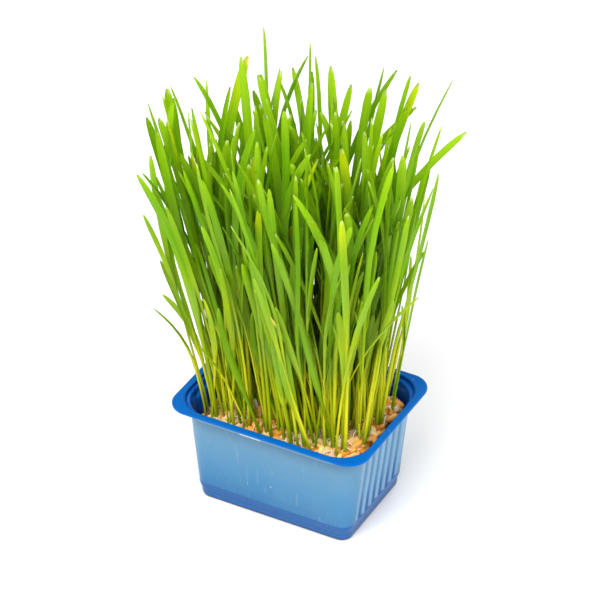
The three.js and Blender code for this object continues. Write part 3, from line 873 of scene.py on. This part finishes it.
def shoot_lines(shoots, clusters, seed, bow=0.026, foot=2.1):
    """Middle lines (shoots, rows, 3) of the solid model's shoots, and how far they have turned. Each foot
    starts on its own grain, a little away from its cluster, and each stem is bowed by 4 s (1 - s). Some at
    the front are swept left as well, by a seeded share of their length times s."""
    random = np.random.default_rng(seed)
    columns = shoots.T
    s = SHARES[None]
    length = columns[2][:, None]
    line = np.concatenate([middle_line(columns, SHARES), (ROOT_HEIGHT + length * s)[..., None]], axis=-1)
    away = (shoots[:, :2] - clusters[:, :2]) / CLUSTER_RADIUS
    line[..., :2] += foot * away[:, None] * (1 - s[..., None]) ** 4
    bows = random.normal(0, bow, (len(shoots), 1, 2)) * length[..., None]
    line[..., :2] += bows * (4 * s * (1 - s))[..., None]
    line[:, 0, 2] -= left_sag(line[:, 0, 0])
    at_front = (columns[1] < SWEPT_BEFORE_Y) & (columns[0] < SWEPT_LEFT_OF_X)
    swept = np.random.default_rng(seed + 30).uniform(0, 1, len(shoots)) ** 3 * at_front
    room = np.maximum(line[:, -1:, 0] - SHOOTS_ROOM[0, 0], 0)
    line[..., 0] -= np.minimum(SWEEP * swept[:, None] * length, room) * s
    return curled(line, 0.28, 0.6, random), columns[7][:, None] + columns[8][:, None] * s


def slender_lines(count, seed):
    """Middle lines of later, thinner shoots, length * (lean s + bend s^2) from their own places on the bed.
    They lean more, to the left at the front, and those that would reach past the others are cut down."""
    random = np.random.default_rng(seed)
    foot = scattered(count, seed + 1, 6) * 0.95
    s = SHARES[None, :, None]
    length = random.triangular(52, 105, 172, (count, 1, 1))
    wild = 1 + 1.3 * (random.uniform(0, 1, (count, 1)) < 0.22)
    lean = 0.07 * foot / GROWING_HALF + random.normal(0, 0.11, (count, 2)) * wild
    lean[:, 0] -= 0.3 * random.uniform(0, 1, count) * (foot[:, 1] < -5)
    bend = random.normal(0, 0.06, (count, 2))
    room = SLENDER_ROOM - np.abs(foot)
    reach = np.abs(lean + bend) * length[:, 0]
    cut = np.minimum(room / reach, 1).min(axis=1)[:, None, None]
    flat = foot[:, None] + length * cut * (lean[:, None] * s + bend[:, None] * s ** 2)
    line = np.concatenate([flat, ROOT_HEIGHT + 2 + length * s + 0 * flat[..., :1]], axis=-1)
    line[:, 0, 2] -= left_sag(line[:, 0, 0])
    turn = random.uniform(0, np.pi, (count, 1)) + random.normal(0, 0.8, (count, 1)) * SHARES[None]
    return curled(line, 0.32, 0.45, random), turn


def second_leaf_lines(line, turn, start, seed):
    """Middle lines of younger leaves: each leaves its shoot's line at a share of it, keeps to the stem at
    first, and swings away by 0.5 s^1.6 of a seeded lean in its leaf's own direction, within the box."""
    random = np.random.default_rng(seed)
    count = len(line)
    at = np.arange(count)
    low = line[at, start]
    way = unit(line[at, start + 2] - low)
    length = (line[:, -1, 2] - low[:, 2]) * random.uniform(0.42, 0.78, count)
    aside = random.uniform(0.12, 0.42, count) * length
    facing = turn[at, start] + np.pi / 2 + np.pi * random.integers(0, 2, count)
    out = np.stack([np.cos(facing), np.sin(facing), 0 * facing], axis=-1) * aside[:, None]
    s = SHARES[None, :, None]
    young = low[:, None] + way[:, None] * length[:, None, None] * s + out[:, None] * 0.5 * s ** 1.6
    young = bent_back(young, SHARES[:, None] ** 1.6)
    return young, turn[at, start][:, None] + random.normal(0, 0.5, (count, 1)) * SHARES[None]


def blades(line, turn, width, joint, stem, seed):
    """Closed skins of stems that open into leaves, of four-cornered rings: two edges, a front and a back. The
    half width goes from the stem's to the leaf's over the opening share from the joint, stays, and ends
    over its last 14 to 34 mm in a blunt point, (1 - t^3)^0.6. Front and back drop between the edges, so that
    a leaf is a shallow V."""
    random = np.random.default_rng(seed)
    count = len(line)
    s = SHARES[None]
    up = unit(np.gradient(line, axis=1))
    side = np.stack([np.cos(turn), np.sin(turn), 0 * turn], axis=-1)
    side = unit(side - up * (side * up).sum(axis=-1, keepdims=True))
    front = np.cross(up, side)
    opened = step(s, joint[:, None], joint[:, None] + OPENING_SHARE)
    length = np.linalg.norm(line[:, -1] - line[:, 0], axis=-1)[:, None]
    taper = np.clip(random.uniform(14, 34, (count, 1)) / length, 0.08, 0.45)
    point = (1 - np.clip((s - 1 + taper) / taper, 0, 1) ** 3) ** 0.6
    stem = stem[:, None] * (1.12 - 0.25 * s)
    half_width = (stem * (1 - opened) + width[:, None] / 2 * opened) * point
    half_thick = (stem * (1 - opened) + LEAF_HALF_THICK * opened) * (0.3 + 0.7 * point)
    channel = random.uniform(0.3, 0.65, (count, 1)) * half_width * opened
    across, forward = np.array([1, 0, -1, 0]), np.array([0, 1, 0, -1])
    backward = half_thick[..., None] * forward - channel[..., None] * (across == 0)
    rings = (line[:, :, None] + side[:, :, None] * (half_width[..., None] * across)[..., None]
             + front[:, :, None] * backward[..., None])
    tint = random.uniform(0, 1, (count, 1, 1))
    return rings, {"along": SHARES[:, None], "across": across, "leaf": opened[..., None], "tint": tint}


def sharpen(leaves):
    """Keeps the leaves' sides crisp: an edge is sharp where both its ends are on a leaf's side and the leaf
    is more than 0.4 open."""
    mesh = leaves.data
    across, leaf = np.empty((2, len(mesh.vertices)))
    mesh.attributes["across"].data.foreach_get("value", across)
    mesh.attributes["leaf"].data.foreach_get("value", leaf)
    ends = np.empty(len(mesh.edges) * 2, int)
    mesh.edges.foreach_get("vertices", ends)
    at_edge = (np.abs(across) > 0.99) & (leaf > 0.4)
    sharp = at_edge[ends].reshape(-1, 2).all(axis=1)
    mesh.attributes.new("sharp_edge", "BOOLEAN", "EDGE").data.foreach_set("value", sharp)


def green_leaf(name, dry=0.0, deep=0.0):
    """Leaf and stem: yellow-green at the foot and bright green above, with a paler tip, parallel veins and a
    lighter middle vein, and light that shines through. A share of it may be dry, which is straw-coloured, and
    a share may be deep green, painted shade for late shoots deep in the grass. Blades in the clump's core are
    painted darker as painted shade, and mid-height blades greyer, partly from the leaves' grey wax and partly
    as painted sheen."""
    finish = Finish(name, Specular_IOR_Level=0.1)
    along, across, tint = finish.mark("along"), finish.mark("across"), finish.mark("tint")
    leaf = finish.mark("leaf")
    height = finish.place("Z")
    patches = finish.noise(50, 2, (1, 1, 0.4)).between(0.35, 0.7)
    bright = finish.mix(tint, (0.16, 0.43, 0.001), (0.27, 0.49, 0.001))
    bright = finish.mix(patches * 0.4, bright, (0.17, 0.40, 0.010))
    yellowed = tint * 0.7 + finish.noise(90, 1, (1, 1, 0.3)) * 0.5
    stem = finish.ramp(yellowed, (0.15, (0.20, 0.36, 0.002)), (0.45, (0.50, 0.53, 0.002)),
                       (0.8, (0.88, 0.80, 0.025)))
    green = height.between(76, 175).math("MAXIMUM", leaf * height.between(60, 115) * 0.7)
    # Greyer green on mid-height blades: partly the leaves' grey wax, partly painted sheen.
    wax_and_sheen = finish.noise(30, 1).between(0.36, 0.6) * height.between(82, 120) * height.between(205, 160)
    # Painted shade: blades and stems in the clump's core are painted darker green, most of all low down.
    out_x, out_y = finish.place("X") / GROWING_HALF[0], finish.place("Y") / GROWING_HALF[1]
    inner = (out_x * out_x + out_y * out_y).between(0.9, 0.1) * height.between(190, 90)
    own = finish.node("ShaderNodeCombineXYZ", {}, {"X": across * 2.2, "Y": along * 2.5, "Z": tint * 60})
    streaks = finish.node("ShaderNodeTexNoise", {}, {"Vector": own, "Scale": 1.6, "Detail": 3})
    veins = (across * 16).math("SINE")
    rib = across.math("ABSOLUTE").between(0.16, 0.02) * leaf
    yellow_tip = along.between(0.8, 0.98) * tint.between(0.93, 0.96)
    pale_point = along.between(0.975, 0.995) * tint.between(0.3, 0.7)
    dried = (tint + along * 0.2).between(1.18 - dry, 1.2 - dry)
    colour = finish.layers(
        stem,
        (height.between(68, 56) * 0.6, (0.17, 0.34, 0.01)),
        (green, bright),
        (wax_and_sheen * 0.55, (0.29, 0.48, 0.065)),
        # Painted shade: a share of the late shoots is painted deep green, standing in for their shade deep in
        # the grass.
        (tint.between(0.65, 0.15) * deep, (0.06, 0.20, 0.002)),
        (inner * 0.5, (0.03, 0.12, 0.001)),
        (streaks.between(0.52, 0.7) * 0.35, (0.42, 0.58, 0.02)),
        (streaks.between(0.5, 0.32) * 0.4, (0.10, 0.33, 0.003)),
        (veins.between(0.2, 1.0) * leaf * 0.24, (0.38, 0.58, 0.03)),
        (rib * 0.3, (0.42, 0.58, 0.03)),
        (along.between(0.86, 1.0) * 0.5, (0.42, 0.64, 0.01)),
        (yellow_tip * 0.5, (0.85, 0.86, 0.005)),
        (pale_point * 0.6, (0.80, 0.84, 0.36)),
        (dried, (0.84, 0.70, 0.12)),
    )
    finish.set(Base_Color=colour, Roughness=0.4 + finish.noise(500, 2, (1, 1, 0.2)) * 0.2)
    finish.relief(veins * leaf * 0.5 + finish.noise(1200, 2, (1, 1, 0.1)), 0.05)
    finish.glow_through(0.26, (0.55, 0.80, 0.008, 1))
    return finish


shoots = grow(draw, clusters)
parents = np.repeat(clusters, IN_CLUSTER, axis=0)
line, turn = shoot_lines(shoots, parents, 40)
random = np.random.default_rng(41)
quarters = (shoots[:, 0] > 0).astype(int) + 2 * (shoots[:, 1] > 0)
width = random.uniform(3.4, 5.0, len(shoots)) * step(shoots[:, 2], -60, 180)
joint = random.uniform(0.22, 0.4, len(shoots))
stem = random.uniform(0.66, 0.98, len(shoots))
leaf_finish = green_leaf("green_leaf")
for quarter, name in enumerate(["front_left", "front_right", "back_left", "back_right"]):
    chosen = quarters == quarter
    of_quarter = [values[chosen] for values in (line, turn, width, joint, stem)]
    rings, marks = blades(*of_quarter, 42 + quarter)
    sharpen(piece("shoots_" + name, rings, leaf_finish, "shoots", "shoots", **marks))

YOUNG = 200
chosen = random.permutation(len(shoots))[:YOUNG]
start = random.integers(3, 6, YOUNG)
young, turn = second_leaf_lines(line[chosen], turn[chosen], start, 50)
width = random.uniform(2.8, 4.6, YOUNG)
rings, marks = blades(young, turn, width, np.full(YOUNG, 0.02), np.full(YOUNG, 0.5), 51)
sharpen(piece("second_leaves", rings, leaf_finish, "shoots", **marks))

SLENDER = 140
line, turn = slender_lines(SLENDER, 60)
width, joint = random.uniform(2.2, 3.8, SLENDER), random.uniform(0.2, 0.45, SLENDER)
rings, marks = blades(line, turn, width, joint, random.uniform(0.5, 0.76, SLENDER), 61)
# The late shoots get the painted shade of deep green.
sharpen(piece("slender_shoots", rings, green_leaf("slender_leaf", 0.018, 0.45), "shoots", **marks))


# ------------------------------
# The setting: a plain pale floor, a broad soft light high in front with weaker ones all round, and the
# camera in front of the right corner, looking down.

floor_mesh = bpy.data.meshes.new("floor")
floor_mesh.from_pydata([(-6, -6, 0), (6, -6, 0), (6, 6, 0), (-6, 6, 0)], [], [(0, 1, 2, 3)])
floor_finish = Finish("pale_floor", Roughness=0.6, Base_Color=(0.77, 0.77, 0.77, 1))
floor_mesh.materials.append(floor_finish.material)
stand("floor", floor_mesh)


def look(thing, place, target):
    """Puts a camera or light at a place, pointing its -Z at the target."""
    thing.location = place
    thing.rotation_mode = "QUATERNION"
    thing.rotation_quaternion = (Vector(target) - Vector(place)).to_track_quat("-Z", "Y")


def soft_light(name, place, size, power):
    """A square light of that size in metres and power in watts, aimed at the tray."""
    light = bpy.data.lights.new(name, "AREA")
    light.size, light.energy = size, power
    look(stand(name, light), place, (0, 0, 0.1))


soft_light("key", (0.05, -1.5, 2.2), 1.5, 70)
soft_light("left", (-1.9, -0.5, 1.3), 1.2, 15)
soft_light("right", (1.9, -0.3, 1.3), 1.2, 23)
soft_light("back", (0.3, 2.0, 1.6), 1.6, 20)
world = bpy.data.worlds.new("studio")
world.use_nodes = True
background = world.node_tree.nodes["Background"].inputs
background["Color"].default_value = (1, 1, 1, 1)
background["Strength"].default_value = 0.62
bpy.context.scene.world = world
bpy.context.scene.view_settings.view_transform = "Standard"

camera = bpy.data.cameras.new("camera")
camera.sensor_width = 36
camera.lens = 214
camera_object = stand("camera", camera)
look(camera_object, (0.717, -1.327, 1.177), (0.0, 0.0, 0.122))
bpy.context.scene.camera = camera_object
